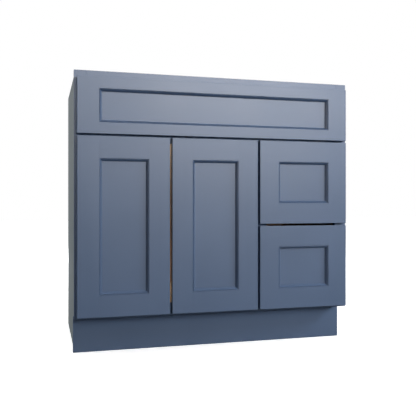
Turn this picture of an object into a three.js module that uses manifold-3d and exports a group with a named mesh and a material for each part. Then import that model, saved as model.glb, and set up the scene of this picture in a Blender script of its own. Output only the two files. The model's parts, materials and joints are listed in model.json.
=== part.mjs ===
// A framed bathroom vanity cabinet: two doors on concealed hinges, two drawers on
// three-part ball-bearing slides, a fixed false front above them and a recessed toe space.
// Units are millimetres, +X is to the right, +Z is up, and the doors face -Y.
// The origin is at the middle of the footprint, on the floor.
import * as THREE from 'three';
import { mergeVertices } from 'three/addons/utils/BufferGeometryUtils.js';
import Module from 'manifold-3d';

// Overall sizes
const WIDTH = 914.4; // across the face frame
const HEIGHT = 876.3; // floor to the edge that carries the countertop
const DEPTH = 533.4; // face frame's front to the wall
const GLUE_GAP = 0.2; // between pieces that are glued, screwed or nailed together

// Carcass
const PLY = 12.7; // sides, floor and partition
const BACK_PLY = 6.35;
const SIDE_INSET = 4.76; // side panel's outer face, in from the frame's edge
const DADO = 6; // depth of the grooves that hold the floor panel
const TOE_HEIGHT = 114.3;
const TOE_SETBACK = 57.15; // face frame's front to the toe board's front
const TOE_BOARD = 12.7;
const NAILER_HEIGHT = 89;
const NAILER_THICKNESS = 19.05;
const BRACE_LEG = 92;
const BRACE_THICKNESS = 16;
const BRACE_DROP = 3; // brace's top, below the top edge
const FILLER_LENGTH = 456;

// Face frame
const FRAME_THICKNESS = 19.05;
const STILE = 38.1;
const TOP_RAIL = 38.1;
const MIDDLE_RAIL = 38.1;
const BOTTOM_RAIL = 38.1;
const FLOOR_STEP = 6.35; // floor panel's top, below the bottom rail's top edge

// Door, drawer and false fronts
const FRONT = 19.05; // thickness
const BUMPER_GAP = 2; // frame's front to the back of a closed front
const SIDE_REVEAL = 8.5;
const TOP_REVEAL = 21.6;
const BOTTOM_REVEAL = 6.6;
const UPRIGHT_GAP = 7.9; // between fronts that stand side by side
const APRON_GAP = 6.5; // false front to the doors and the upper drawer
const DRAWER_GAP = 7.2;
const APRON_HEIGHT = 173.5;
const DRAWER_FRONT_WIDTH = 311.2;

// Members of a framed front, and the moulding along their inner edges
const MEMBER = { stile: 66, rail: 68 };
const APRON_MEMBER = { stile: 66, rail: 35 };
const PANEL = 5;
const RECESS = 11.5; // front of the frame to the front of the panel
const MOULDING = 8; // width of the moulding
const QUIRK = { inwards: 0.3, back: 2.8 }; // the groove outside the moulding's ridge
const RIDGE = { inwards: 2.4, back: 1.5 }; // the moulding's ridge, from where it slopes to the panel
const MOULDING_LIP = 1.2;
const EDGE_BREAK = 1;
const PANEL_GROOVE = 8; // depth of the groove that holds the panel
const PANEL_PLAY = 1.5; // room left around the panel for the wood to move

// Concealed hinges
const HINGE_INSET = 89; // door's end to the hinge's middle
const CUP_RADIUS = 17.5;
const CUP_DEPTH = 11.3;
const CUP_WALL = 1;
const CUP_BACKSET = 7.1; // cup's centre, behind the frame's inner edge
const FLANGE = 1.1;
const FLANGE_RADIUS = 19.5;
const SCREW_SPREAD = 22.5; // cup screws, above and below the hinge's middle
const HINGE_PIN = 1.5;
const PIN_PLAY = 0.15;
const LINK_WIDTH = 10;
const LINK_BAR = 1.5; // half thickness
const LINK_EYE = 2.5;
const EAR = 2.6;
const EAR_PLAY = 0.4;
const EAR_EYE = 2.3;
const ARM_PLATE = { thickness: 2.2, height: 44, front: -3.2, back: -18 };

// Drawer boxes and slides
const BOX_BOARD = 15.9;
const BOX_BOTTOM = 6.35;
const BOX_SHORTFALL = 83.3; // a drawer's front is this much taller than its box
const BOX_DEPTH = 457;
const BOX_LIFT = 12; // lower box's bottom edge, above the bottom rail
const BOTTOM_SETUP = 12; // bottom panel, above the box's bottom edge
const BOX_GROOVE = 6;
const TAILS = 4;
const TAIL_SLOPE = 2.5; // a tail's edge moves this far over the thickness of a board
const PIN_WIDTH = 10;
const SLIDE_SPACE = 13.1; // between the box and the opening's side
const SLIDE_LENGTH = 450;
const SLIDE_SETBACK = 5; // slide's end, behind the frame's front
const SLIDE_LEVEL = 70; // slide's middle, above the box's bottom edge
const SLIDE_SHEET = 1.2;
// Each member is a channel: w runs from the cabinet's side towards the box
const SLIDE_MEMBERS = {
  outer: { half: 22.8, web: GLUE_GAP, reach: 10, turned: false },
  middle: { half: 17.4, web: 3, reach: 8, turned: false },
  inner: { half: 12, web: SLIDE_SPACE - GLUE_GAP - 6.9, reach: 6.9, turned: true },
};

// Places worked out from the sizes
const halfWidth = WIDTH / 2;
const frameFront = -(DEPTH + FRONT + BUMPER_GAP) / 2 + FRONT + BUMPER_GAP;
const frameRear = frameFront + FRAME_THICKNESS;
const wall = frameFront + DEPTH;
const sideOuter = halfWidth - SIDE_INSET;
const sideInner = sideOuter - PLY;
const overlay = STILE - SIDE_REVEAL; // a front laps its frame member by this much
const doorWidth = (WIDTH - 2 * SIDE_REVEAL - 2 * UPRIGHT_GAP - DRAWER_FRONT_WIDTH) / 2;
const frontsBottom = TOE_HEIGHT + BOTTOM_REVEAL;
const apronBottom = HEIGHT - TOP_REVEAL - APRON_HEIGHT;
const frontsTop = apronBottom - APRON_GAP;
const doorHeight = frontsTop - frontsBottom;
const drawerFrontHeight = (doorHeight - DRAWER_GAP) / 2;
const boxHeight = drawerFrontHeight - BOX_SHORTFALL;
const drawerLeft = halfWidth - SIDE_REVEAL - DRAWER_FRONT_WIDTH;
const middleRailZ = (frontsTop + apronBottom) / 2;
const bottomRailTop = TOE_HEIGHT + BOTTOM_RAIL;
const floorTop = bottomRailTop - FLOOR_STEP;
const openingRight = halfWidth - STILE;
const openingLeft = drawerLeft + overlay;
const mullionLeft = drawerLeft - UPRIGHT_GAP - overlay;
const backFront = wall - BACK_PLY;
const partitionTop = middleRailZ + MIDDLE_RAIL / 2;

const paint = () => new THREE.MeshStandardMaterial({ color: 0x6b7b93, roughness: 0.5, metalness: 0 });
const birch = () => new THREE.MeshStandardMaterial({ color: 0xd2b48a, roughness: 0.6, metalness: 0 });
const sideSkin = () => new THREE.MeshStandardMaterial({ color: 0x6d7478, roughness: 0.6, metalness: 0 });
const zinc = () => new THREE.MeshStandardMaterial({ color: 0xb4b7ba, roughness: 0.35, metalness: 0.9 });
const nickel = () => new THREE.MeshStandardMaterial({ color: 0xc3c0b8, roughness: 0.25, metalness: 1 });

const wasm = await Module();
wasm.setup();

function toSolid(geometry) {
  const plain = geometry.clone();
  plain.deleteAttribute('normal');
  plain.deleteAttribute('uv');
  const merged = mergeVertices(plain, 1e-4);
  const vertProperties = Float32Array.from(merged.attributes.position.array);
  const triVerts = Uint32Array.from(merged.index.array);
  return new wasm.Manifold(new wasm.Mesh({ numProp: 3, vertProperties, triVerts }));
}

function toGeometry(solid) {
  const { vertProperties, triVerts } = solid.getMesh();
  const geometry = new THREE.BufferGeometry();
  geometry.setAttribute('position', new THREE.BufferAttribute(vertProperties, 3));
  geometry.setIndex(new THREE.BufferAttribute(triVerts, 1));
  geometry.computeVertexNormals();
  return geometry;
}

function join(...geometries) {
  return toGeometry(geometries.map(toSolid).reduce((whole, piece) => whole.add(piece)));
}

function cut(geometry, ...cutters) {
  return toGeometry(cutters.map(toSolid).reduce((rest, cutter) => rest.subtract(cutter), toSolid(geometry)));
}

function piece(name, geometry, material) {
  const mesh = new THREE.Mesh(geometry, material);
  mesh.name = name;
  return mesh;
}

function block([x0, x1], [y0, y1], [z0, z1]) {
  const geometry = new THREE.BoxGeometry(x1 - x0, y1 - y0, z1 - z0);
  return geometry.translate((x0 + x1) / 2, (y0 + y1) / 2, (z0 + z1) / 2);
}

// Extrudes an outline of [y, z] points from x0 to x1.
function prismX(outline, x0, x1) {
  const shape = new THREE.Shape(outline.map(([y, z]) => new THREE.Vector2(y, z)));
  const geometry = new THREE.ExtrudeGeometry(shape, { depth: x1 - x0, bevelEnabled: false });
  const axes = new THREE.Matrix4().makeBasis(
    new THREE.Vector3(0, 1, 0), new THREE.Vector3(0, 0, 1), new THREE.Vector3(1, 0, 0));
  return geometry.applyMatrix4(axes).translate(x0, 0, 0);
}

// Extrudes an outline of [x, z] points from y0 to y1.
function prismY(outline, y0, y1) {
  const shape = new THREE.Shape(outline.map(([x, z]) => new THREE.Vector2(z, x)));
  const geometry = new THREE.ExtrudeGeometry(shape, { depth: y1 - y0, bevelEnabled: false });
  const axes = new THREE.Matrix4().makeBasis(
    new THREE.Vector3(0, 0, 1), new THREE.Vector3(1, 0, 0), new THREE.Vector3(0, 1, 0));
  return geometry.applyMatrix4(axes).translate(0, y0, 0);
}

// Extrudes a shape drawn in x and y from z0 to z1.
function prismZ(shape, z0, z1, curveSegments = 6) {
  const geometry = new THREE.ExtrudeGeometry(shape, { depth: z1 - z0, bevelEnabled: false, curveSegments });
  return geometry.translate(0, 0, z0);
}

// ---------------------------------------------------------------- carcass

const span = (a, b) => [a + GLUE_GAP, b - GLUE_GAP];

function sidePanel(side) {
  const front = frameRear + GLUE_GAP;
  const notch = frameFront + TOE_SETBACK + TOE_BOARD + GLUE_GAP;
  const outline = [
    [front, HEIGHT], [wall, HEIGHT], [wall, 0], [notch, 0], [notch, TOE_HEIGHT], [front, TOE_HEIGHT],
  ];
  const faces = [side * sideInner, side * sideOuter].sort((a, b) => a - b);
  const board = prismX(outline, faces[0], faces[1]);
  const dado = block([-sideInner - DADO, sideInner + DADO], [frameRear, wall + 1],
    [floorTop - PLY - GLUE_GAP, floorTop + GLUE_GAP]);
  return cut(board, dado);
}

function cornerBrace(side) {
  const corner = [side * (sideInner - GLUE_GAP), frameRear + GLUE_GAP];
  const shape = new THREE.Shape([
    new THREE.Vector2(corner[0], corner[1]),
    new THREE.Vector2(corner[0] - side * BRACE_LEG, corner[1]),
    new THREE.Vector2(corner[0] - side * BRACE_LEG, corner[1] + 0.2 * BRACE_LEG),
    new THREE.Vector2(corner[0] - side * 0.2 * BRACE_LEG, corner[1] + BRACE_LEG),
    new THREE.Vector2(corner[0], corner[1] + BRACE_LEG),
  ]);
  const top = HEIGHT - BRACE_DROP;
  return prismZ(shape, top - BRACE_THICKNESS, top);
}

function buildCarcass() {
  const carcass = new THREE.Group();
  const behindFrame = span(frameRear, backFront);
  const frameDepth = [frameFront, frameRear];
  const betweenStiles = span(-openingRight, openingRight);
  const underMiddleRail = span(bottomRailTop, middleRailZ - MIDDLE_RAIL / 2);
  const toeFront = frameFront + TOE_SETBACK;
  const dadoEnd = sideInner + DADO - GLUE_GAP;
  const add = (name, geometry, material) => carcass.add(piece(name, geometry, material));

  add('side_panel_left', sidePanel(-1), sideSkin());
  add('side_panel_right', sidePanel(1), sideSkin());
  add('floor_panel', block([-dadoEnd, dadoEnd], behindFrame, [floorTop - PLY, floorTop]), birch());
  add('back_panel', block(span(-sideInner, sideInner), [backFront, wall],
    [floorTop - PLY, HEIGHT]), birch());
  add('hanging_rail', block(span(-sideInner, sideInner),
    [backFront - NAILER_THICKNESS - GLUE_GAP, backFront - GLUE_GAP], [HEIGHT - NAILER_HEIGHT, HEIGHT]), birch());
  add('toe_kick_board', block([-halfWidth, halfWidth], [toeFront, toeFront + TOE_BOARD],
    [0, TOE_HEIGHT - GLUE_GAP]), paint());
  add('drawer_partition', block([openingLeft - PLY, openingLeft], behindFrame,
    span(floorTop, partitionTop + GLUE_GAP)), birch());
  add('slide_filler', block(span(openingRight - GLUE_GAP, sideInner),
    [frameRear + GLUE_GAP, frameRear + GLUE_GAP + FILLER_LENGTH], span(floorTop, partitionTop + GLUE_GAP)), birch());

  add('frame_stile_left', block([-halfWidth, -openingRight], frameDepth, [TOE_HEIGHT, HEIGHT]), paint());
  add('frame_stile_right', block([openingRight, halfWidth], frameDepth, [TOE_HEIGHT, HEIGHT]), paint());
  add('frame_mullion', block([mullionLeft, openingLeft], frameDepth, underMiddleRail), paint());
  add('frame_rail_top', block(betweenStiles, frameDepth, [HEIGHT - TOP_RAIL, HEIGHT]), paint());
  add('frame_rail_middle', block(betweenStiles, frameDepth,
    [middleRailZ - MIDDLE_RAIL / 2, middleRailZ + MIDDLE_RAIL / 2]), paint());
  add('frame_rail_bottom', block(betweenStiles, frameDepth, [TOE_HEIGHT, bottomRailTop]), paint());
  add('corner_brace_front_left', cornerBrace(-1), birch());
  add('corner_brace_front_right', cornerBrace(1), birch());
  return carcass;
}

// ---------------------------------------------------------------- framed fronts

// The section of a frame member. edge is true for points placed from the front's outer
// edge, and false for points placed from the member's inner edge. in runs towards the
// middle of the front, and back runs from its front face.
function memberSection() {
  const points = [];
  const add = (edge, inwards, back) => points.push({ edge, inwards, back });
  add(true, EDGE_BREAK, FRONT);
  add(true, 0, FRONT - EDGE_BREAK);
  [0, 45, 90].map(THREE.MathUtils.degToRad).forEach((a) => add(true,
    EDGE_BREAK * (1 - Math.cos(a)), EDGE_BREAK * (1 - Math.sin(a))));
  add(false, 0, 0);
  add(false, QUIRK.inwards, QUIRK.back);
  [0, 1 / 3, 2 / 3, 1].forEach((t) => add(false, RIDGE.inwards + (MOULDING - RIDGE.inwards) * t,
    RIDGE.back + (RECESS - MOULDING_LIP - RIDGE.back) * t ** 1.25));
  const grooveFront = RECESS - GLUE_GAP;
  const grooveRear = RECESS + PANEL + GLUE_GAP;
  add(false, MOULDING, grooveFront);
  add(false, MOULDING - PANEL_GROOVE, grooveFront);
  add(false, MOULDING - PANEL_GROOVE, grooveRear);
  add(false, MOULDING, grooveRear);
  add(false, MOULDING, FRONT);
  return points;
}

// A closed ring of four members around a panel, with the section above swept round it.
function frameRing(width, height, member) {
  const section = memberSection();
  const rearFace = -BUMPER_GAP;
  const positions = [];
  const index = [];
  const corners = [[0, 0], [1, 0], [1, 1], [0, 1]];
  corners.forEach(([right, up]) => section.forEach(({ edge, inwards, back }) => {
    const inX = inwards + (edge ? 0 : member.stile);
    const inZ = inwards + (edge ? 0 : member.rail);
    positions.push(right ? width - inX : inX, rearFace - FRONT + back, up ? height - inZ : inZ);
  }));
  const count = section.length;
  corners.forEach((_, corner) => section.forEach((_, i) => {
    const next = (i + 1) % count;
    const a = corner * count + i;
    const b = corner * count + next;
    const c = ((corner + 1) % 4) * count + next;
    const d = ((corner + 1) % 4) * count + i;
    index.push(a, c, b, a, d, c);
  }));
  const geometry = new THREE.BufferGeometry();
  geometry.setAttribute('position', new THREE.Float32BufferAttribute(positions, 3));
  geometry.setIndex(index);
  geometry.computeVertexNormals();
  return geometry;
}

function centrePanel(width, height, member) {
  const hidden = PANEL_GROOVE - PANEL_PLAY;
  const inX = member.stile + MOULDING - hidden;
  const inZ = member.rail + MOULDING - hidden;
  const front = -BUMPER_GAP - FRONT + RECESS;
  return block([inX, width - inX], [front, front + PANEL], [inZ, height - inZ]);
}

function buildApron() {
  const apron = new THREE.Group();
  const width = WIDTH - 2 * SIDE_REVEAL;
  apron.add(piece('apron_frame', frameRing(width, APRON_HEIGHT, APRON_MEMBER), paint()));
  apron.add(piece('apron_panel', centrePanel(width, APRON_HEIGHT, APRON_MEMBER), paint()));
  apron.position.set(-halfWidth + SIDE_REVEAL, frameFront, apronBottom);
  return apron;
}

// ---------------------------------------------------------------- concealed hinges

// A hinge is drawn for a door whose hinged edge is at x = 0 and that extends along +x,
// with the face frame's front at y = 0. The same hinge turned upside down fits the other
// hand. The door's cup turns on the link, and the link turns on the arm.
const cupX = overlay - CUP_BACKSET;
const cupPin = { x: cupX - 9.5, y: -(BUMPER_GAP + 1.6) };
const armPin = { x: overlay + 4, y: 1 };
const doorBack = -BUMPER_GAP;

function pinAt({ x, y }, radius, halfLength, sides = 12) {
  const geometry = new THREE.CylinderGeometry(radius, radius, 2 * halfLength, sides);
  return geometry.rotateX(Math.PI / 2).translate(x, y, 0);
}

function cupDisc(radius, y0, y1, sides = 28) {
  const geometry = new THREE.CylinderGeometry(radius, radius, y1 - y0, sides);
  return geometry.translate(cupX, (y0 + y1) / 2, 0);
}

function hingeCup() {
  const inside = CUP_RADIUS - GLUE_GAP - CUP_WALL;
  const flangeRear = doorBack + GLUE_GAP + FLANGE;
  const bottom = doorBack - CUP_DEPTH;
  const tab = block([cupX + 3, cupX + 15], [doorBack + GLUE_GAP, flangeRear],
    [-SCREW_SPREAD - 5, SCREW_SPREAD + 5]);
  const shell = join(cupDisc(CUP_RADIUS - GLUE_GAP, bottom, flangeRear),
    cupDisc(FLANGE_RADIUS, doorBack + GLUE_GAP, flangeRear), tab);
  const screwHole = (z) => new THREE.CylinderGeometry(2.2, 2.2, 6, 10).translate(cupX + 9.5, doorBack, z);
  const hollow = cut(shell, cupDisc(inside, bottom + CUP_WALL, flangeRear + 1),
    screwHole(SCREW_SPREAD), screwHole(-SCREW_SPREAD));
  const chord = Math.sqrt(inside ** 2 - (cupX - cupPin.x) ** 2);
  return join(hollow, pinAt(cupPin, HINGE_PIN, chord));
}

// A flat bar with round ends from a to b.
function bar(a, b, radius, z0, z1) {
  const angle = Math.atan2(b.y - a.y, b.x - a.x);
  const shape = new THREE.Shape();
  shape.absarc(b.x, b.y, radius, angle - Math.PI / 2, angle + Math.PI / 2, false);
  shape.absarc(a.x, a.y, radius, angle + Math.PI / 2, angle + 3 * Math.PI / 2, false);
  return prismZ(shape, z0, z1, 6);
}

function hingeLink() {
  const z = LINK_WIDTH / 2;
  const bend = { x: armPin.x - 1.2, y: cupPin.y };
  const body = join(
    bar(cupPin, bend, LINK_BAR, -z, z),
    bar(bend, armPin, LINK_BAR, -z, z),
    pinAt(cupPin, LINK_EYE, z, 16),
    pinAt(armPin, LINK_EYE, z, 16));
  const holeRadius = HINGE_PIN + PIN_PLAY;
  return cut(body, pinAt(cupPin, holeRadius, z + 1), pinAt(armPin, holeRadius, z + 1));
}

function hingeArm() {
  const { thickness, height, front, back } = ARM_PLATE;
  const plateX = overlay + GLUE_GAP;
  const plate = block([plateX, plateX + thickness], [-front, -back], [-height / 2, height / 2]);
  const earIn = LINK_WIDTH / 2 + EAR_PLAY;
  const root = { x: plateX + EAR_EYE, y: -front + 6 };
  const ears = [-1, 1].map((s) => {
    const [z0, z1] = [s * earIn, s * (earIn + EAR)].sort((p, q) => p - q);
    return bar(root, armPin, EAR_EYE, z0, z1);
  });
  const screwHole = (z) => new THREE.CylinderGeometry(2.2, 2.2, 12, 10)
    .rotateZ(Math.PI / 2).translate(plateX + thickness / 2, -(front + back) / 2 + 2, z);
  const body = join(plate, ...ears, pinAt(armPin, HINGE_PIN, earIn + EAR * 0.8));
  return cut(body, screwHole(height / 3), screwHole(-height / 3));
}

// ---------------------------------------------------------------- doors

function buildDoor(side) {
  const right = side === 'right';
  const door = new THREE.Group();
  const left = -halfWidth + SIDE_REVEAL + (right ? doorWidth + UPRIGHT_GAP : 0);
  door.position.set(left, frameFront, frontsBottom);
  const hingedEdge = right ? doorWidth : 0;
  const levels = { lower: HINGE_INSET, upper: doorHeight - HINGE_INSET };

  const bores = Object.values(levels).map((z) => {
    const bore = new THREE.CylinderGeometry(CUP_RADIUS, CUP_RADIUS, 2 * (CUP_DEPTH + GLUE_GAP), 28);
    return bore.translate(right ? doorWidth - cupX : cupX, doorBack, z);
  });
  const ring = cut(frameRing(doorWidth, doorHeight, MEMBER), ...bores);
  door.add(piece(`door_${side}_frame`, ring, paint()));
  door.add(piece(`door_${side}_panel`, centrePanel(doorWidth, doorHeight, MEMBER), paint()));

  Object.entries(levels).forEach(([level, z]) => {
    const hinge = new THREE.Group();
    hinge.position.set(hingedEdge, 0, z);
    hinge.rotation.y = right ? Math.PI : 0;
    hinge.add(piece(`hinge_cup_${side}_${level}`, hingeCup(), nickel()));
    hinge.add(piece(`hinge_link_${side}_${level}`, hingeLink(), nickel()));
    hinge.add(piece(`hinge_arm_${side}_${level}`, hingeArm(), nickel()));
    door.add(hinge);
  });
  return door;
}

// ---------------------------------------------------------------- drawers

// A box side with dovetail tails at both ends, as an outline of [y, z] points. grow makes
// it larger all round, for cutting the sockets in the front and back boards.
function sideOutline(y0, y1, grow) {
  const pitch = boxHeight / TAILS;
  const tip = (pitch - PIN_WIDTH + TAIL_SLOPE) / 2 + grow;
  const root = tip - TAIL_SLOPE;
  const depth = BOX_BOARD + GLUE_GAP - grow;
  const points = [];
  const addEnd = (end, inwards, up) => {
    for (let i = 0; i < TAILS; i += 1) {
      const centre = pitch * ((up ? i : TAILS - 1 - i) + 0.5);
      const s = up ? 1 : -1;
      points.push([end + inwards * depth, centre - s * root], [end, centre - s * tip],
        [end, centre + s * tip], [end + inwards * depth, centre + s * root]);
    }
  };
  points.push([y0 + depth, -grow], [y1 - depth, -grow]);
  addEnd(y1, -1, true);
  points.push([y1 - depth, boxHeight + grow], [y0 + depth, boxHeight + grow]);
  addEnd(y0, 1, false);
  return points;
}

function slideSection({ half, web, reach, turned }) {
  const open = web + reach;
  const [back, lip] = turned ? [open, web] : [web, open];
  const inner = back + (turned ? -SLIDE_SHEET : SLIDE_SHEET);
  const step = half - SLIDE_SHEET;
  return [[back, -half], [lip, -half], [lip, -step], [inner, -step],
    [inner, step], [lip, step], [lip, half], [back, half]];
}

function buildSlide(level, side) {
  const slide = new THREE.Group();
  const facing = side === 'left' ? 1 : -1;
  const start = SLIDE_SETBACK;
  Object.entries(SLIDE_MEMBERS).forEach(([member, size]) => {
    const outline = slideSection(size).map(([w, z]) => [facing * w, z]);
    const length = member === 'inner' ? SLIDE_LENGTH - 6 : SLIDE_LENGTH;
    slide.add(piece(`slide_${member}_${level}_${side}`, prismY(outline, start, start + length), zinc()));
  });
  return slide;
}

function buildDrawer(level) {
  const drawer = new THREE.Group();
  const upper = level === 'upper';
  const boxBottom = bottomRailTop + BOX_LIFT + (upper ? drawerFrontHeight + DRAWER_GAP : 0);
  const frontBottom = frontsBottom + (upper ? drawerFrontHeight + DRAWER_GAP : 0);

  const front = new THREE.Group();
  front.position.set(drawerLeft, frameFront, frontBottom);
  front.add(piece(`drawer_${level}_front_frame`,
    frameRing(DRAWER_FRONT_WIDTH, drawerFrontHeight, MEMBER), paint()));
  front.add(piece(`drawer_${level}_front_panel`,
    centrePanel(DRAWER_FRONT_WIDTH, drawerFrontHeight, MEMBER), paint()));
  drawer.add(front);

  const box = new THREE.Group();
  box.position.set((openingLeft + openingRight) / 2, frameFront, boxBottom);
  const halfBox = (openingRight - openingLeft) / 2 - SLIDE_SPACE;
  const y0 = -BUMPER_GAP + GLUE_GAP;
  const y1 = y0 + BOX_DEPTH;
  const groove = BOX_GROOVE - GLUE_GAP;
  const bottomX = halfBox - BOX_BOARD + groove;
  const bottomY = [y0 + BOX_BOARD - groove, y1 - BOX_BOARD + groove];
  const bottomZ = [BOTTOM_SETUP, BOTTOM_SETUP + BOX_BOTTOM];
  const grooveCutter = block([-bottomX - GLUE_GAP, bottomX + GLUE_GAP],
    [bottomY[0] - GLUE_GAP, bottomY[1] + GLUE_GAP], [bottomZ[0] - GLUE_GAP, bottomZ[1] + GLUE_GAP]);
  const side = (s, grow) => {
    const faces = [s * halfBox, s * (halfBox - BOX_BOARD)].sort((a, b) => a - b);
    return prismX(sideOutline(y0, y1, grow), faces[0] - grow, faces[1] + grow);
  };
  const endBoard = (a, b) => cut(block([-halfBox, halfBox], [a, b], [0, boxHeight]),
    side(-1, GLUE_GAP), side(1, GLUE_GAP), grooveCutter);
  box.add(piece(`drawer_${level}_box_left`, cut(side(-1, 0), grooveCutter), birch()));
  box.add(piece(`drawer_${level}_box_right`, cut(side(1, 0), grooveCutter), birch()));
  box.add(piece(`drawer_${level}_box_front`, endBoard(y0, y0 + BOX_BOARD), birch()));
  box.add(piece(`drawer_${level}_box_back`, endBoard(y1 - BOX_BOARD, y1), birch()));
  box.add(piece(`drawer_${level}_box_bottom`, block([-bottomX, bottomX], bottomY, bottomZ), birch()));
  drawer.add(box);

  const slideZ = boxBottom + SLIDE_LEVEL;
  [['left', openingLeft], ['right', openingRight]].forEach(([hand, x]) => {
    const slide = buildSlide(level, hand);
    slide.position.set(x, frameFront, slideZ);
    drawer.add(slide);
  });
  return drawer;
}

const group = new THREE.Group();
group.add(buildCarcass(), buildApron());
['left', 'right'].forEach((side) => group.add(buildDoor(side)));
['upper', 'lower'].forEach((level) => group.add(buildDrawer(level)));

export default group;
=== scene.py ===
import json
import math
import random

import bmesh
import bpy
from bpy.props import FloatProperty, FloatVectorProperty, PointerProperty
from mathutils import Matrix, Vector


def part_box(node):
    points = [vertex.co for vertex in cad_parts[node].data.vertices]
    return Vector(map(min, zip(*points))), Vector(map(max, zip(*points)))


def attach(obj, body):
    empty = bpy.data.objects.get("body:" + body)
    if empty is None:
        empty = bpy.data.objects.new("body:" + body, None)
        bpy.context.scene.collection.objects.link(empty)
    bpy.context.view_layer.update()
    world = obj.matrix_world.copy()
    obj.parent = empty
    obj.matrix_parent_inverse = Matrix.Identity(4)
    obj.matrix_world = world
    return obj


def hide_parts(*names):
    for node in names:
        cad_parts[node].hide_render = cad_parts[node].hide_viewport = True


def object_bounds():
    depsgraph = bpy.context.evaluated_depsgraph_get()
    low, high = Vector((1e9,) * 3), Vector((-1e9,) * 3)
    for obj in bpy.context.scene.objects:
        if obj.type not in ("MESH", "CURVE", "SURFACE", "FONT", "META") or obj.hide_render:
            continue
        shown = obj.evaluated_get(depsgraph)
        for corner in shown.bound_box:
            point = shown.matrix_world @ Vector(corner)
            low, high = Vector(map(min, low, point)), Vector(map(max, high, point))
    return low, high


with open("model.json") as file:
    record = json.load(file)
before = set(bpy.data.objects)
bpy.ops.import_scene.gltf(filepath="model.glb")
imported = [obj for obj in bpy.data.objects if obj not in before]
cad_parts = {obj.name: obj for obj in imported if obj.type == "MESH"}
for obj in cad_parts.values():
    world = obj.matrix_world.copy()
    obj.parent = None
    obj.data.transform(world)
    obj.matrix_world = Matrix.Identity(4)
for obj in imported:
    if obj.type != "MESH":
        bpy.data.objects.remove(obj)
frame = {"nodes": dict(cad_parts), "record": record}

bl_info = {
    "name": "Bathroom vanity cabinet",
    "version": (1, 0, 0),
    "blender": (4, 5, 0),
    "location": "View3D > Sidebar > Vanity",
    "description": "Finishes a framed vanity cabinet around its packed structure",
    "category": "Object",
}

CAD_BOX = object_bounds()
BEHIND = Vector((0, 1, 0))
UP = Vector((0, 0, 1))
SIDES = ("left", "right")
LEVELS = ("lower", "upper")

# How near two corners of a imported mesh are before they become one, tried until no face vanishes.
MERGES = (2e-6, 1e-5)
SMALLEST_FACE = 1e-14
# Turns between faces: still one flat face, a hard edge in the shading, an edge that is rounded.
FLAT_TURN = math.radians(0.4)
SHARP_TURN = math.radians(33)
BEVEL_TURN = math.radians(30)
FIBRE_STRETCH = 0.06
SCREW_SIDES = 32
TURN_PER_COPY = 0.7
BORE_DEPTH = 0.0115
FACING = 0.9
THIN_PLY = 0.01
BACKGROUND_WHITE = (1.0, 1.0, 1.0)


# ---------------------------------------------------------------- settings


class VanitySizes(bpy.types.PropertyGroup):
    """Sizes of the finish work, in metres"""

    stile: FloatProperty(name="Stile", description="Width of an upright member, to the moulding",
                         default=0.066, unit="LENGTH")
    rail: FloatProperty(name="Rail", description="Width of a cross member, to the moulding",
                        default=0.068, unit="LENGTH")
    apron_rail: FloatProperty(name="False front rail", description="Width of the false front's rails",
                              default=0.035, unit="LENGTH")
    moulding: FloatProperty(name="Moulding", description="Width of the moulding around a panel",
                            default=0.008, unit="LENGTH")
    quirk: FloatProperty(name="Quirk", description="Depth of the fine groove outside the moulding's ridge",
                         default=0.0028, unit="LENGTH")
    ridge: FloatProperty(name="Ridge", description="From a member's inner edge to the moulding's ridge",
                         default=0.0024, unit="LENGTH")
    ridge_depth: FloatProperty(name="Ridge depth", description="Front of the frame to the moulding's ridge",
                               default=0.0015, unit="LENGTH")
    recess: FloatProperty(name="Recess", description="Front of the frame to the front of the panel",
                          default=0.0115, unit="LENGTH")
    edge: FloatProperty(name="Sanded edge", description="Radius of a painted board's edges",
                        default=0.0011, unit="LENGTH")
    board_edge: FloatProperty(name="Board edge", description="Radius of a bare board's edges",
                              default=0.0005, unit="LENGTH")
    metal_edge: FloatProperty(name="Metal edge", description="Radius of a pressed part's edges",
                              default=0.0002, unit="LENGTH")
    bore: FloatProperty(name="Hinge bore", description="Radius of the bore for a hinge cup",
                        default=0.01745, unit="LENGTH")


class VanityFinishes(bpy.types.PropertyGroup):
    """Colours and gloss of the finishes"""

    paint: FloatVectorProperty(name="Paint", description="Slate-blue paint of the fronts and frame",
                               subtype="COLOR", size=3, default=(0.0756, 0.12, 0.21))
    paint_gloss: FloatProperty(name="Paint roughness", description="Roughness of the sprayed paint",
                               default=0.42, min=0.0, max=1.0)
    skin: FloatVectorProperty(name="Side skin", description="Grey skin on the outside of the side panels",
                              subtype="COLOR", size=3, default=(0.14, 0.165, 0.175))
    wood: FloatVectorProperty(name="Birch", description="Clear-coated birch inside the cabinet",
                              subtype="COLOR", size=3, default=(0.60, 0.42, 0.25))
    zinc: FloatVectorProperty(name="Zinc", description="Zinc plate on the slides",
                              subtype="COLOR", size=3, default=(0.56, 0.58, 0.61))
    nickel: FloatVectorProperty(name="Nickel", description="Nickel plate on the hinges and screws",
                                subtype="COLOR", size=3, default=(0.62, 0.60, 0.56))


class VanityStudio(bpy.types.PropertyGroup):
    """Camera and light"""

    lens: FloatProperty(name="Lens", description="Focal length of the camera, in millimetres",
                        default=51.59, unit="CAMERA")
    key: FloatProperty(name="Key lights", description="Share of the key lights' power that is on",
                       default=1.0)
    sheen: FloatProperty(name="Sheen panels", description="Share of the sheen panels' power that is on",
                         default=1.0)
    ambient: FloatProperty(name="Ambient", description="Strength of the light from all around",
                           default=0.03)
    sky: FloatProperty(name="Sky", description="Strength of what a glossy surface reflects",
                       default=0.3)


def settings():
    return bpy.context.scene.vanity_sizes


def finishes():
    return bpy.context.scene.vanity_finishes


# ---------------------------------------------------------------- shader expressions


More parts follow.
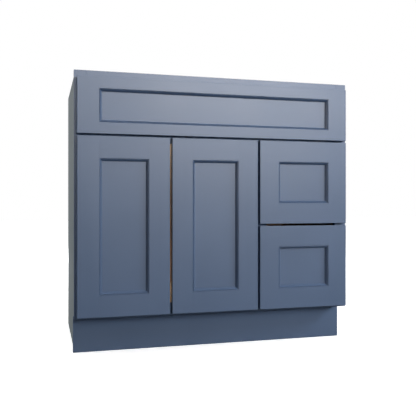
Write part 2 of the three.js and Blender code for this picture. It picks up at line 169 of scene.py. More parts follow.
class Socket:
    """A node's output that can be used in sums, as if it were a number or a vector."""

    def __init__(self, tree, output):
        self.tree = tree
        self.output = output

    def _math(self, operation, *values):
        """Adds a Math node that works on numbers or other sockets."""
        return self.tree.node("ShaderNodeMath", {"operation": operation}, dict(enumerate(values)))

    def __add__(self, other):
        return self._math("ADD", self, other)

    __radd__ = __add__

    def __sub__(self, other):
        return self._math("SUBTRACT", self, other)

    def __rsub__(self, other):
        return self._math("SUBTRACT", other, self)

    def __mul__(self, other):
        return self._math("MULTIPLY", self, other)

    __rmul__ = __mul__

    def __truediv__(self, other):
        return self._math("DIVIDE", self, other)

    def __rtruediv__(self, other):
        return self._math("DIVIDE", other, self)

    def __gt__(self, other):
        return self._math("GREATER_THAN", self, other)

    def fraction(self):
        return self._math("FRACT", self)

    def clamped(self):
        return self.tree.node("ShaderNodeClamp", {}, {"Value": self})


class Nodes:
    """A node tree, built from expressions."""

    def __init__(self, tree):
        self.nodes = tree.nodes
        self.links = tree.links
        self.nodes.clear()

    def node(self, kind, options, inputs, output=0):
        """Adds a node with its settings and inputs, and gives one of its outputs."""
        made = self.nodes.new(kind)
        for key, value in options.items():
            if key == "stops":
                self._set_stops(made.color_ramp, value)
            else:
                setattr(made, key, value)
        for key, value in inputs.items():
            self.feed(made.inputs[key], value)
        return Socket(self, made.outputs[output]) if made.outputs else None

    def _set_stops(self, ramp, stops):
        while len(ramp.elements) < len(stops):
            ramp.elements.new(0.5)
        for element, (position, colour) in zip(ramp.elements, stops):
            element.position = position
            element.color = (*colour, 1.0)

    def feed(self, target, value):
        if isinstance(value, Socket):
            self.links.new(value.output, target)
        elif isinstance(value, (tuple, list)) and len(value) == 3 and len(target.default_value) == 4:
            target.default_value = (*value, 1.0)
        else:
            target.default_value = value


class Shader(Nodes):
    """A material around one principled surface."""

    def __init__(self, name):
        self.material = bpy.data.materials.new(name)
        self.material.use_nodes = True
        super().__init__(self.material.node_tree)
        self.surface = self.nodes.new("ShaderNodeBsdfPrincipled")
        self.node("ShaderNodeOutputMaterial", {}, {"Surface": Socket(self, self.surface.outputs[0])})

    def set(self, **inputs):
        for key, value in inputs.items():
            self.feed(self.surface.inputs[key.replace("_", " ")], value)
        return self.material

    def place(self, scale=(1, 1, 1), move=(0, 0, 0)):
        """Where a point of the piece is, in metres, stretched by scale."""
        here = self.node("ShaderNodeTexCoord", {}, {}, "Object")
        return self.node("ShaderNodeMapping", {}, {"Vector": here, "Scale": scale, "Location": move})

    def axis(self, letter):
        here = self.node("ShaderNodeTexCoord", {}, {}, "Object")
        return self.node("ShaderNodeSeparateXYZ", {}, {"Vector": here}, "XYZ".index(letter))

    def noise(self, vector, scale, detail=3.0, roughness=0.5, distortion=0.0):
        inputs = {"Vector": vector, "Scale": scale, "Detail": detail, "Roughness": roughness,
                  "Distortion": distortion}
        return self.node("ShaderNodeTexNoise", {}, inputs, "Fac")

    def ramp(self, value, stops):
        return self.node("ShaderNodeValToRGB", {"stops": stops}, {"Fac": value}, "Color")

    def mix(self, amount, one, other):
        """A colour between two others."""
        return self.node("ShaderNodeMix", {"data_type": "RGBA"}, {0: amount, 6: one, 7: other}, 2)

    def bump(self, height, distance, strength=1.0):
        inputs = {"Height": height, "Distance": distance, "Strength": strength}
        return self.node("ShaderNodeBump", {}, inputs)


def shaded(colour, amount):
    return tuple(min(1.0, c * amount) for c in colour)


def drawn_out(axis, stretch, across=1):
    """A scale that draws a pattern out along one axis."""
    return tuple(stretch if letter == axis else across for letter in "XYZ")


def paint_material(grain):
    """Sprayed satin paint over wood whose grain runs along one axis and shows faintly."""
    shader = Shader(f"satin_paint_{grain.lower()}")
    colour = finishes().paint
    rough = finishes().paint_gloss
    cloud = shader.noise(shader.place(), 5.0, 2.0)
    fleck = shader.noise(shader.place(), 900.0, 2.0)
    fibres = shader.noise(shader.place(drawn_out(grain, FIBRE_STRETCH)), 420.0, 4.0, 0.6)
    peel = shader.noise(shader.place(), 260.0, 2.0)
    tone = shader.ramp((cloud * 0.7 + fleck * 0.3 + fibres * 0.25 - 0.12).clamped(),
                       [(0.3, shaded(colour, 0.965)), (0.7, shaded(colour, 1.035))])
    height = peel * 0.6 + fibres * 0.4
    return shader.set(Base_Color=tone, Roughness=rough + (cloud - 0.5) * 0.1 + (fibres - 0.5) * 0.06,
                      Normal=shader.bump(height, 0.00012, 0.55), Specular_IOR_Level=0.42)


def skin_material():
    """A grey skin with a faint upright grain, on the outside of the side panels."""
    shader = Shader("side_skin")
    colour = finishes().skin
    streak = shader.noise(shader.place(drawn_out("Z", FIBRE_STRETCH)), 260.0, 5.0, 0.65)
    cloud = shader.noise(shader.place(), 4.0, 2.0)
    tone = shader.ramp((streak * 0.8 + cloud * 0.2).clamped(),
                       [(0.25, shaded(colour, 0.93)), (0.75, shaded(colour, 1.07))])
    return shader.set(Base_Color=tone, Roughness=0.5 + (streak - 0.5) * 0.12,
                      Normal=shader.bump(streak, 0.00008, 0.5))


def birch_material(grain):
    """Clear-coated birch with its figure along one axis."""
    shader = Shader(f"birch_{grain.lower()}")
    colour = finishes().wood
    figure_scale = drawn_out(grain, 0.5, 5)
    drift = shader.noise(shader.place(figure_scale), 1.6, 3.0, 0.5, 0.4)
    bands = shader.noise(shader.place(figure_scale, (3, 7, 1)), 5.0, 4.0, 0.55, 0.8)
    fibres = shader.noise(shader.place(drawn_out(grain, FIBRE_STRETCH)), 520.0, 4.0, 0.7)
    tone = shader.ramp((drift * 0.45 + bands * 0.4 + fibres * 0.15).clamped(), [
        (0.30, shaded(colour, 0.74)), (0.48, shaded(colour, 0.96)),
        (0.60, shaded(colour, 1.06)), (0.78, shaded(colour, 1.16))])
    return shader.set(Base_Color=tone, Roughness=0.46 + (fibres - 0.5) * 0.2, Coat_Weight=0.15,
                      Coat_Roughness=0.3, Normal=shader.bump(fibres * 0.7 + bands * 0.3, 0.00012, 0.5))


def ply_edge_material(thickness_axis, start, plies, thickness):
    """The cut edge of plywood: plies of long grain and end grain by turns."""
    shader = Shader(f"ply_edge_{thickness_axis.lower()}_{round(abs(start) * 1e5)}")
    colour = finishes().wood
    across = (shader.axis(thickness_axis) - start) / thickness * plies
    wobble = shader.noise(shader.place(), 60.0, 2.0) - 0.5
    layer = ((across + wobble * 0.25) * 0.5).fraction()
    dark_ply = layer > 0.5
    pores = shader.noise(shader.place(), 900.0, 3.0, 0.7)
    pale = shader.ramp(pores, [(0.3, shaded(colour, 0.86)), (0.7, shaded(colour, 1.05))])
    dark = shader.ramp(pores, [(0.3, shaded(colour, 0.42)), (0.7, shaded(colour, 0.68))])
    tone = shader.mix(dark_ply, pale, dark)
    return shader.set(Base_Color=tone, Roughness=0.62 + pores * 0.15,
                      Normal=shader.bump(pores + dark_ply * -0.6, 0.00015, 0.6))


def end_grain_material():
    """The end grain of a solid birch board."""
    shader = Shader("birch_end_grain")
    colour = finishes().wood
    rings = shader.noise(shader.place((1, 1, 3)), 90.0, 3.0, 0.6, 1.2)
    pores = shader.noise(shader.place(), 1200.0, 3.0, 0.7)
    tone = shader.ramp((rings * 0.6 + pores * 0.4).clamped(),
                       [(0.3, shaded(colour, 0.45)), (0.7, shaded(colour, 0.78))])
    return shader.set(Base_Color=tone, Roughness=0.66, Normal=shader.bump(pores, 0.0001, 0.6))


def metal_material(name, colour, roughness, drawn="Y"):
    """Plated sheet steel with fine drawing marks along one axis."""
    shader = Shader(name)
    marks = shader.noise(shader.place(drawn_out(drawn, 0.01)), 1800.0, 3.0, 0.6)
    patches = shader.noise(shader.place(), 45.0, 3.0, 0.6)
    tone = shader.ramp((patches * 0.8 + marks * 0.2).clamped(),
                       [(0.3, shaded(colour, 0.84)), (0.7, shaded(colour, 1.08))])
    return shader.set(Base_Color=tone, Metallic=1.0, Roughness=roughness + (patches - 0.5) * 0.16
                      + (marks - 0.5) * 0.12, Normal=shader.bump(marks, 0.00004, 0.4))


def floor_material():
    """A matt floor that bounces little light on to the cabinet. Light that reaches it meets a dark grey,
    while the camera sees it painted pale and glowing with painted light, dim near the cabinet and full
    white 2.2 m out.
    """
    shader = Shader("pale_floor")
    seen = shader.node("ShaderNodeLightPath", {}, {}, "Is Camera Ray")
    shade = shader.noise(shader.place(), 3.0, 2.0)
    pale = shader.ramp(shade, [(0.3, (0.86, 0.86, 0.86)), (0.7, (0.9, 0.9, 0.9))])
    # Only camera rays see the pale colour; light bouncing off the floor meets a dark 0.2 grey.
    colour = shader.mix(seen, (0.2, 0.2, 0.2), pale)
    here = shader.node("ShaderNodeTexCoord", {}, {}, "Object")
    away = shader.node("ShaderNodeVectorMath", {"operation": "LENGTH"}, {0: here}, "Value")
    # Painted glow for camera rays only, where there is no lamp: 0.55 near the middle, rising to full white
    # 2.2 m out.
    fade = (away / 2.2).clamped()
    painted_glow = shader.mix(seen, (0.0, 0.0, 0.0), shader.mix(fade, (0.55, 0.55, 0.55), (1.0, 1.0, 1.0)))
    return shader.set(Base_Color=colour, Roughness=0.9, Emission_Color=painted_glow, Emission_Strength=1.0,
                      Specular_IOR_Level=0.0)


MATERIALS = {}


def finish(name, make, *args):
    """A finish by name, made once."""
    if name not in MATERIALS:
        MATERIALS[name] = make(*args)
    return MATERIALS[name]


def paint(grain):
    return finish(f"paint_{grain}", paint_material, grain)


def birch(grain):
    return finish(f"birch_{grain}", birch_material, grain)


def zinc():
    return finish("zinc", metal_material, "zinc_plate", finishes().zinc, 0.34, "Y")


# ---------------------------------------------------------------- mesh work


def loose_piece(name, mesh, materials=()):
    """Puts a mesh in the scene with its finishes, before it is on a body."""
    piece = bpy.data.objects.new(name, mesh)
    bpy.context.scene.collection.objects.link(piece)
    for material in materials:
        mesh.materials.append(material)
    return piece


def fit_piece(piece, body, slot, stands_for=()):
    """Makes a piece move with a body, and hides the parts it stands for."""
    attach(piece, body)
    if stands_for:
        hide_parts(*stands_for)
    return piece


def add_piece(name, mesh, body, slot, materials=(), stands_for=()):
    """Puts a mesh in the scene as a piece that moves with a body."""
    return fit_piece(loose_piece(name, mesh, materials), body, slot, stands_for)


def to_mesh(name, bm):
    """Turns a finished bmesh into a smooth-shaded mesh that faces outwards."""
    mesh = bpy.data.meshes.new(name)
    bmesh.ops.recalc_face_normals(bm, faces=bm.faces)
    for face in bm.faces:
        face.smooth = True
    bm.to_mesh(mesh)
    bm.free()
    return mesh


def ease(piece, radius, segments=3, by_weight=False):
    """Rounds a piece's edges, and keeps its flat faces flat."""
    bevel = piece.modifiers.new("eased_edges", "BEVEL")
    bevel.width = radius
    bevel.segments = segments
    bevel.limit_method = "WEIGHT" if by_weight else "ANGLE"
    bevel.angle_limit = BEVEL_TURN
    bevel.use_clamp_overlap = True
    bevel.miter_outer = "MITER_ARC"
    apply_modifiers(piece)
    return keep_flat(piece)


def keep_flat(piece):
    """Shades rounded edges smoothly and flat faces flat."""
    piece.data.set_sharp_from_angle(angle=SHARP_TURN)
    normals = piece.modifiers.new("flat_faces", "WEIGHTED_NORMAL")
    normals.keep_sharp = True
    normals.weight = 100
    return piece


def node_mesh(node, merge):
    """A copy of a node's mesh, with its triangles joined into whole faces."""
    bm = bmesh.new()
    bm.from_mesh(frame["nodes"][node].data)
    bmesh.ops.remove_doubles(bm, verts=bm.verts, dist=merge)
    bmesh.ops.dissolve_limit(bm, angle_limit=FLAT_TURN, verts=bm.verts, edges=bm.edges)
    return bm


def body_of(node):
    for body, members in frame["record"]["behaviour"]["bodies"].items():
        if node in members:
            return body
    raise RuntimeError(f"no body holds {node}")


def slot_of(node):
    for part in frame["record"]["subparts"]:
        if part["node"] == node:
            return part["material_slot"]
    raise RuntimeError(f"no slot for {node}")


def dressed(node, materials, choose=None, radius=None, segments=3):
    """A node's own shape with eased edges and a finish for each of its faces."""
    name = f"{node}_finished"
    width = radius if radius is not None else settings().board_edge
    for merge in MERGES:
        bm = node_mesh(node, merge)
        for face in bm.faces:
            face.material_index = choose(face) if choose else 0
        piece = ease(loose_piece(name, to_mesh(name, bm), materials), width, segments)
        smallest = min(face.area for face in piece.data.polygons)
        if smallest > SMALLEST_FACE or merge == MERGES[-1]:
            break
        bpy.data.objects.remove(piece)
    return fit_piece(piece, body_of(node), slot_of(node), [node])


# ---------------------------------------------------------------- framed fronts


def moulding_points():
    """The moulding's section past a member's inner edge: (inwards, back), front to rear."""
    size = settings()
    lip, wall, slope_steps, slope_curve = 0.0012, 0.0005, 10, 1.25
    panel_play, panel_and_play = 0.0002, 0.0052
    groove_front = size.recess - panel_play
    groove_rear = size.recess + panel_and_play
    points = [(0.0, 0.0), (0.00022, size.quirk * 0.86), (wall, size.quirk),
              (size.ridge - wall, size.ridge_depth + 0.00018)]
    for i in range(slope_steps + 1):
        t = i / slope_steps
        points.append((size.ridge + (size.moulding - size.ridge) * t,
                       size.ridge_depth + (size.recess - lip - size.ridge_depth) * t ** slope_curve))
    points += [(size.moulding, groove_front), (wall, groove_front), (wall, groove_rear),
               (size.moulding, groove_rear), (size.moulding, front_depth()), (0, front_depth())]
    return points


def front_depth():
    low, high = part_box("door_left_frame")
    return high.y - low.y


def member_mesh(name, width, length, moulding_start, place):
    """One stile or rail. The place function turns (inwards, back, along) into a point of the cabinet."""
    depth = front_depth()
    moulding = moulding_points()
    bm = bmesh.new()
    weight = bm.edges.layers.float.new("bevel_weight_edge")

    def vert(inwards, back, along):
        return bm.verts.new(place(inwards, back, along))

    ends = (0.0, length)
    outer = [[vert(0, depth, at), vert(0, 0, at)] for at in ends]
    starts = (moulding_start, length - moulding_start)
    rows = [[vert(width + s, b, start + sign * s) for s, b in moulding]
            for start, sign in zip(starts, (1, -1))]
    if moulding_start > 0:
        inner = [[vert(width, depth, at), vert(width, 0, at)] for at in ends]
    else:
        inner = [[row[-1], row[0]] for row in rows]

    def edge_weight(a, b, value):
        edge = bm.edges.get((a, b))
        if edge:
            edge[weight] = value

    def face(*corners):
        kept = []
        for corner in corners:
            if corner not in kept:
                kept.append(corner)
        bm.faces.new(kept)

    near, far = 0, 1
    face(outer[near][0], outer[near][1], outer[far][1], outer[far][0])
    face(outer[near][1], inner[near][1], rows[near][0], rows[far][0], inner[far][1], outer[far][1])
    face(outer[near][0], inner[near][0], rows[near][-1], rows[far][-1], inner[far][0], outer[far][0])
    for i in range(len(moulding) - 1):
        face(rows[near][i], rows[near][i + 1], rows[far][i + 1], rows[far][i])
    for end in (near, far):
        face(*outer[end], inner[end][1], inner[end][0])
        bm.faces.new(rows[end])
        if moulding_start > 0:
            face(inner[end][0], inner[end][1], rows[end][0], rows[end][-1])
    # A stile's ends are sanded round, while a rail's are butted to the stiles and stay nearly sharp.
    is_stile = moulding_start > 0
    end_weight, seam_weight = (1.0, 1.0) if is_stile else (0.1, 0.12)
    for edge in bm.edges:
        edge[weight] = 0.0
    for back in (0, 1):
        edge_weight(outer[near][back], outer[far][back], 1.0)
    for end in (near, far):
        edge_weight(outer[end][0], outer[end][1], end_weight)
        for back in (0, 1):
            edge_weight(outer[end][back], inner[end][back], seam_weight)
    return to_mesh(name, bm)


def framed_front(prefix, node, stile, rail, bores=()):
    """The four members of a front, around its panel."""
    low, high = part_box(node)
    glue = 0.00004
    body, slot = body_of(node), slot_of(node)
    height = high.z - low.z
    rail_length = high.x - low.x - 2 * stile - 2 * glue
    rail_start = low.x + stile + glue
    members = {
        "stile_left": (stile, height, rail, lambda s, b, l: (low.x + s, low.y + b, low.z + l), "Z"),
        "stile_right": (stile, height, rail, lambda s, b, l: (high.x - s, low.y + b, low.z + l), "Z"),
        "rail_bottom": (rail, rail_length, 0, lambda s, b, l: (rail_start + l, low.y + b, low.z + s), "X"),
        "rail_top": (rail, rail_length, 0, lambda s, b, l: (rail_start + l, low.y + b, high.z - s), "X"),
    }
    for part, (width, length, start, place, grain) in members.items():
        name = f"{prefix}_{part}"
        mesh = member_mesh(name, width, length, start, place)
        piece = add_piece(name, mesh, body, slot, [paint(grain)], [node])
        ease(piece, settings().edge, 3, by_weight=True)
        if part in bores:
            bore_for_cups(piece, bores[part])


def bore_for_cups(piece, cups):
    """Cuts the bores of a stile's hinge cups."""
    for cup in cups:
        low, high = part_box(cup)
        middle = (low + high) / 2
        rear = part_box(f"{body_of(cup)}_frame")[1].y
        cutter = cylinder(f"{cup}_bore", settings().bore, BORE_DEPTH, Vector((middle.x, rear, middle.z)))
        cut = piece.modifiers.new("bore", "BOOLEAN")
        cut.object = cutter
        cut.operation = "DIFFERENCE"
        cut.solver = "EXACT"
        apply_modifiers(piece)
        bpy.data.objects.remove(cutter)
    keep_flat(piece)


def cylinder(name, radius, half_length, at, sides=64):
    """A short round bar along Y, for cutting."""
    bm = bmesh.new()
    lying = Matrix.Translation(at) @ Matrix.Rotation(math.pi / 2, 4, "X")
    bmesh.ops.create_cone(bm, cap_ends=True, segments=sides, radius1=radius, radius2=radius,
                          depth=2 * half_length, matrix=lying)
    return loose_piece(name, to_mesh(name, bm))


def apply_modifiers(piece):
    """Makes a piece's modifiers part of its mesh."""
    bpy.context.view_layer.update()
    graph = bpy.context.evaluated_depsgraph_get()
    mesh = bpy.data.meshes.new_from_object(piece.evaluated_get(graph))
    old = piece.data
    piece.modifiers.clear()
    piece.data = mesh
    bpy.data.meshes.remove(old)


# ---------------------------------------------------------------- operators


class VANITY_OT_fronts(bpy.types.Operator):
    """Doors, drawer fronts and false front, each with four members around a panel"""

    bl_idname = "vanity.fronts"
    bl_label = "Framed fronts"

    def execute(self, context):
        size = settings()
        for side in SIDES:
            cups = [f"hinge_cup_{side}_{level}" for level in LEVELS]
            bores = {f"stile_{side}": cups}
            framed_front(f"door_{side}", f"door_{side}_frame", size.stile, size.rail, bores)
        for level in LEVELS:
            framed_front(f"drawer_{level}_front", f"drawer_{level}_front_frame", size.stile, size.rail)
        framed_front("false_front", "apron_frame", size.stile, size.apron_rail)
        panels = [f"door_{side}_panel" for side in SIDES]
        panels += [f"drawer_{level}_front_panel" for level in LEVELS] + ["apron_panel"]
        for node in panels:
            grain = "X" if node == "apron_panel" else "Z"
            dressed(node, [paint(grain)])
        return {"FINISHED"}


class VANITY_OT_face_frame(bpy.types.Operator):
    """Stiles, rails and mullion of the face frame, and the toe-kick board"""

    bl_idname = "vanity.face_frame"
    bl_label = "Face frame and toe board"

    def execute(self, context):
        grain = {"frame_stile_left": "Z", "frame_stile_right": "Z", "frame_mullion": "Z",
                 "frame_rail_top": "X", "frame_rail_middle": "X", "frame_rail_bottom": "X",
                 "toe_kick_board": "X"}
        for node, axis in grain.items():
            dressed(node, [paint(axis)], radius=settings().edge * 0.7)
        return {"FINISHED"}


def ply_edge(axis, node):
    """The ply edge of one board, with its plies counted across its thickness."""
    low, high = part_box(node)
    start = getattr(low, axis.lower())
    thickness = getattr(high, axis.lower()) - start
    plies = 9 if thickness > THIN_PLY else 5
    return finish(f"ply_{node}", ply_edge_material, axis, start, plies, thickness)


def looks_along(axis, yes, no):
    """Chooses a finish by whether a face looks along an axis, either way."""
    index = "XYZ".index(axis)

    def choose(face):
        return yes if abs(face.normal[index]) > FACING else no

    return choose


def solid_board(node, grain, radius=None):
    """A solid birch board, with end grain on the faces across its grain."""
    materials = [birch(grain), finish("end_grain", end_grain_material)]
    return dressed(node, materials, looks_along(grain, 1, 0), radius)


class VANITY_OT_carcass(bpy.types.Operator):
    """Side panels, floor, back, partition and the other boards behind the face frame"""

    bl_idname = "vanity.carcass"
    bl_label = "Carcass boards"

    def execute(self, context):
        for side, sign in zip(SIDES, (-1, 1)):
            node = f"side_panel_{side}"

            def outside(face, sign=sign):
                if face.normal.x * sign > FACING:
                    return 0
                return 1 if face.normal.x * sign < -FACING else 2

            dressed(node, [finish("skin", skin_material), birch("Z"), ply_edge("X", node)], outside)
        boards = {"floor_panel": ("Z", "X"), "back_panel": ("Y", "Z"), "drawer_partition": ("X", "Z")}
        for node, (thickness_axis, grain) in boards.items():
            materials = [birch(grain), ply_edge(thickness_axis, node)]
            dressed(node, materials, looks_along(thickness_axis, 0, 1))
        solid = {"hanging_rail": "X", "slide_filler": "Z", "corner_brace_front_left": "X",
                 "corner_brace_front_right": "X"}
        for node, grain in solid.items():
            solid_board(node, grain)
        return {"FINISHED"}


class VANITY_OT_drawer_boxes(bpy.types.Operator):
    """Dovetailed drawer boxes"""

    bl_idname = "vanity.drawer_boxes"
    bl_label = "Drawer boxes"

    def execute(self, context):
        grain = {"front": "X", "back": "X", "left": "Y", "right": "Y"}
        for level in LEVELS:
            for board, axis in grain.items():
                solid_board(f"drawer_{level}_box_{board}", axis, settings().board_edge * 0.5)
            dressed(f"drawer_{level}_box_bottom", [birch("Y")])
        return {"FINISHED"}


class VANITY_OT_hinges(bpy.types.Operator):
    """Cups, links and arms of the concealed hinges"""

    bl_idname = "vanity.hinges"
    bl_label = "Hinges"

    def execute(self, context):
        plated = finish("nickel", metal_material, "nickel_plate", finishes().nickel, 0.24, "Z")
        for side in SIDES:
            for level in LEVELS:
                for part in ("cup", "link", "arm"):
                    dressed(f"hinge_{part}_{side}_{level}", [plated], None, settings().metal_edge, 2)
        return {"FINISHED"}


class VANITY_OT_slides(bpy.types.Operator):
    """Three-part drawer slides"""

    bl_idname = "vanity.slides"
    bl_label = "Drawer slides"

    def execute(self, context):
        edge = settings().metal_edge * 1.5
        for member in ("outer", "middle", "inner"):
            for level in LEVELS:
                for side in SIDES:
                    dressed(f"slide_{member}_{level}_{side}", [zinc()], None, edge, 2)
        return {"FINISHED"}


def closed_loft(bm, rings):
    """Joins rings of points into a closed skin with flat ends."""
    loops = [[bm.verts.new(p) for p in ring] for ring in rings]
    count = len(loops[0])
    for one, other in zip(loops, loops[1:]):
        for i in range(count):
            bm.faces.new((one[i], one[(i + 1) % count], other[(i + 1) % count], other[i]))
    bm.faces.new(loops[0])
    bm.faces.new(loops[-1])


def circle(radius, z, sides):
    """Points round +Z at a height."""
    turns = [2 * math.pi * i / sides for i in range(sides)]
    return [Vector((radius * math.cos(t), radius * math.sin(t), z)) for t in turns]


def screw_template(radius, height):
    """A screw's head around +Z with its base at 0, and a cross recess cut into it."""
    bm = bmesh.new()
    section = ((0.62, -1), (1, 0), (0.97, 0.35), (0.8, 0.8), (0.45, 1))
    closed_loft(bm, [circle(radius * r, height * h, SCREW_SIDES) for r, h in section])
    head = loose_piece("screw_head", to_mesh("screw_head", bm))
    arm, half = radius * 0.62, radius * 0.13
    cross = [(arm, -half), (arm, half), (half, half), (half, arm), (-half, arm), (-half, half),
             (-arm, half), (-arm, -half), (-half, -half), (-half, -arm), (half, -arm), (half, -half)]
    bm = bmesh.new()
    closed_loft(bm, [[Vector((x * 0.5, y * 0.5, -height * 0.7)) for x, y in cross],
                     [Vector((x * 1.05, y * 1.05, height * 1.5)) for x, y in cross]])
    cutter = loose_piece("recess", to_mesh("recess", bm))
    cut = head.modifiers.new("recess", "BOOLEAN")
    cut.object = cutter
    cut.solver = "EXACT"
    apply_modifiers(head)
    template = head.data
    bpy.data.objects.remove(cutter)
    bpy.data.objects.remove(head)
    return template


def many(name, template, places, body, slot, material):
    """One piece made of a template repeated. Each place is a point and the way it faces."""
    bm = bmesh.new()
    for i, (point, facing) in enumerate(places):
        copy = bmesh.new()
        copy.from_mesh(template)
        stand = facing.to_track_quat("Z", "Y").to_matrix().to_4x4()
        spin = Matrix.Rotation(TURN_PER_COPY * i, 4, "Z")
        copy.transform(Matrix.Translation(point) @ stand @ spin)
        spare = bpy.data.meshes.new("spare")
        copy.to_mesh(spare)
        copy.free()
        bm.from_mesh(spare)
        bpy.data.meshes.remove(spare)
    return keep_flat(add_piece(name, to_mesh(name, bm), body, slot, [material]))


def screw_finish():
    return finish("screw", metal_material, "screw_nickel", shaded(finishes().nickel, 0.86), 0.3, "Z")


def front_screws():
    """Places of the screws seen on the back of the frame and inside the drawers."""
    apron_spread, apron_inset, drawer_spread, drawer_drop = 0.25, 0.0085, 0.068, 0.054
    places = {"carcass": [], "drawer_lower": [], "drawer_upper": []}
    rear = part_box("frame_rail_top")[1].y
    low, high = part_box("apron_frame")
    for x in (-apron_spread, apron_spread):
        for z in (high.z - apron_inset, low.z + apron_inset):
            places["carcass"].append((Vector((x, rear, z)), BEHIND))
    for level in LEVELS:
        low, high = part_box(f"drawer_{level}_box_front")
        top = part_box(f"drawer_{level}_front_frame")[1].z
        middle = (low.x + high.x) / 2
        for x in (-drawer_spread, drawer_spread):
            places[f"drawer_{level}"].append((Vector((middle + x, high.y, top - drawer_drop)), BEHIND))
    return places


class VANITY_OT_fasteners(bpy.types.Operator):
    """Screws of the hinges, slides, braces and fronts, and the staples of the back"""

    bl_idname = "vanity.fasteners"
    bl_label = "Screws and staples"

    def execute(self, context):
        self.hinge_screws()
        self.slide_screws()
        pan = screw_template(0.0042, 0.0014)
        rail_screw, side_screw = (0.066, 0.011), (0.012, 0.07)
        for body, places in front_screws().items():
            name = "false_front_screws" if body == "carcass" else f"{body}_front_screws"
            many(name, pan, places, body, "nickel_steel", screw_finish())
        braces = []
        for side, sign in zip(SIDES, (-1, 1)):
            low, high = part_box(f"corner_brace_front_{side}")
            corner_x = high.x if sign > 0 else low.x
            for inwards, back in (rail_screw, side_screw):
                braces.append((Vector((corner_x - sign * inwards, low.y + back, high.z)), UP))
        many("brace_screws", pan, braces, "carcass", "nickel_steel", screw_finish())
        self.staples()
        return {"FINISHED"}

    def hinge_screws(self):
        cup_screw = screw_template(0.0037, 0.0004)
        arm_screw = screw_template(0.0038, 0.0011)
        cup_spread, cup_inset, flange_proud = 0.0225, 0.0095, 0.0013
        arm_spread, arm_proud, arm_back = 0.01467, 0.0022, 0.0126
        frame_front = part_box("frame_stile_left")[0].y
        arms = []
        for side, sign in zip(SIDES, (1, -1)):
            cups = []
            for level in LEVELS:
                low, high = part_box(f"hinge_cup_{side}_{level}")
                middle = (low + high) / 2
                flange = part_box(f"door_{side}_frame")[1].y + flange_proud
                for z in (-cup_spread, cup_spread):
                    place = Vector((middle.x + sign * cup_inset, flange, middle.z + z))
                    cups.append((place, BEHIND))
                low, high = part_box(f"hinge_arm_{side}_{level}")
                face = (low.x if sign > 0 else high.x) + sign * arm_proud
                for z in (-arm_spread, arm_spread):
                    place = Vector((face, frame_front + arm_back, (low.z + high.z) / 2 + z))
                    arms.append((place, Vector((sign, 0, 0))))
            many(f"hinge_cup_screws_{side}", cup_screw, cups, f"door_{side}", "nickel_steel",
                 screw_finish())
        many("hinge_arm_screws", arm_screw, arms, "carcass", "nickel_steel", screw_finish())

    def slide_screws(self):
        flat = screw_template(0.0036, 0.0009)
        steel, outer_holes, inner_holes = 0.0012, (0.036, 0.228, 0.42), (0.03, 0.2, 0.4)
        for level in LEVELS:
            outer, inner = [], []
            for side, sign in zip(SIDES, (1, -1)):
                low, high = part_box(f"slide_outer_{level}_{side}")
                web = (low.x if sign > 0 else high.x) + sign * steel
                middle_z = (low.z + high.z) / 2
                outer += [(Vector((web, low.y + y, middle_z)), Vector((sign, 0, 0))) for y in outer_holes]
                low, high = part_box(f"slide_inner_{level}_{side}")
                web = (high.x if sign > 0 else low.x) - sign * steel
                inner += [(Vector((web, low.y + y, middle_z)), Vector((-sign, 0, 0))) for y in inner_holes]
            many(f"slide_outer_screws_{level}", flat, outer, "carcass", "nickel_steel", screw_finish())
            many(f"slide_inner_screws_{level}", flat, inner, f"drawer_{level}", "nickel_steel",
                 screw_finish())

    def staples(self):
        """Staple crowns that hold the back panel to the floor and the hanging rail."""
        bm = bmesh.new()
        low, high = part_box("back_panel")
        margin, above_bottom, below_top, per_row, sunk = 0.05, 0.006, 0.05, 8, 0.00025
        wander_z, wander_x, tilt, crown_edge = 0.0015, 0.006, 0.12, 0.00015
        jitter = random.Random(4)
        for row_z in (low.z + above_bottom, high.z - below_top):
            for row_x in steps(low.x + margin, high.x - margin, per_row):
                z = row_z + jitter.uniform(-wander_z, wander_z)
                x = row_x + jitter.uniform(-wander_x, wander_x)
                staple(bm, Vector((x, high.y - sunk, z)), jitter.uniform(-tilt, tilt))
        piece = add_piece("back_staples", to_mesh("back_staples", bm), "carcass", "zinc_steel", [zinc()])
        ease(piece, crown_edge, 2)


def steps(start, end, count):
    return [start + (end - start) * i / (count - 1) for i in range(count)]


def staple(bm, at, slant):
    """A staple's crown, pressed into the face of a board that faces +Y."""
    along = Vector((math.cos(slant), 0, math.sin(slant)))
    across = Vector((-along.z, 0, along.x))
    half, thin, buried, proud = 0.0055, 0.0006, 0.0003, 0.0005
    ring = [at + along * u + across * v
            for u, v in ((-half, -thin), (half, -thin), (half, thin), (-half, thin))]
    closed_loft(bm, [[point + BEHIND * y for point in ring] for y in (-buried, proud)])


def bumper_template(radius, thickness):
    """A soft disc around +Z, domed a little, with its base at 0."""
    bm = bmesh.new()
    section = ((1, 0), (1, 0.45), (0.9, 0.8), (0.68, 0.96), (0.3, 1))
    closed_loft(bm, [circle(radius * r, thickness * t, SCREW_SIDES) for r, t in section])
    return to_mesh("bumper", bm)


def bumper_material():
    """Clear, slightly yellowed polyurethane."""
    shader = Shader("polyurethane_bumper")
    haze = shader.noise(shader.place(), 700.0, 3.0)
    tone = shader.ramp(haze, [(0.3, (0.62, 0.61, 0.55)), (0.7, (0.74, 0.73, 0.68))])
    return shader.set(Base_Color=tone, Roughness=0.28 + haze * 0.15, Coat_Weight=0.2,
                      Normal=shader.bump(haze, 0.00005, 0.5))


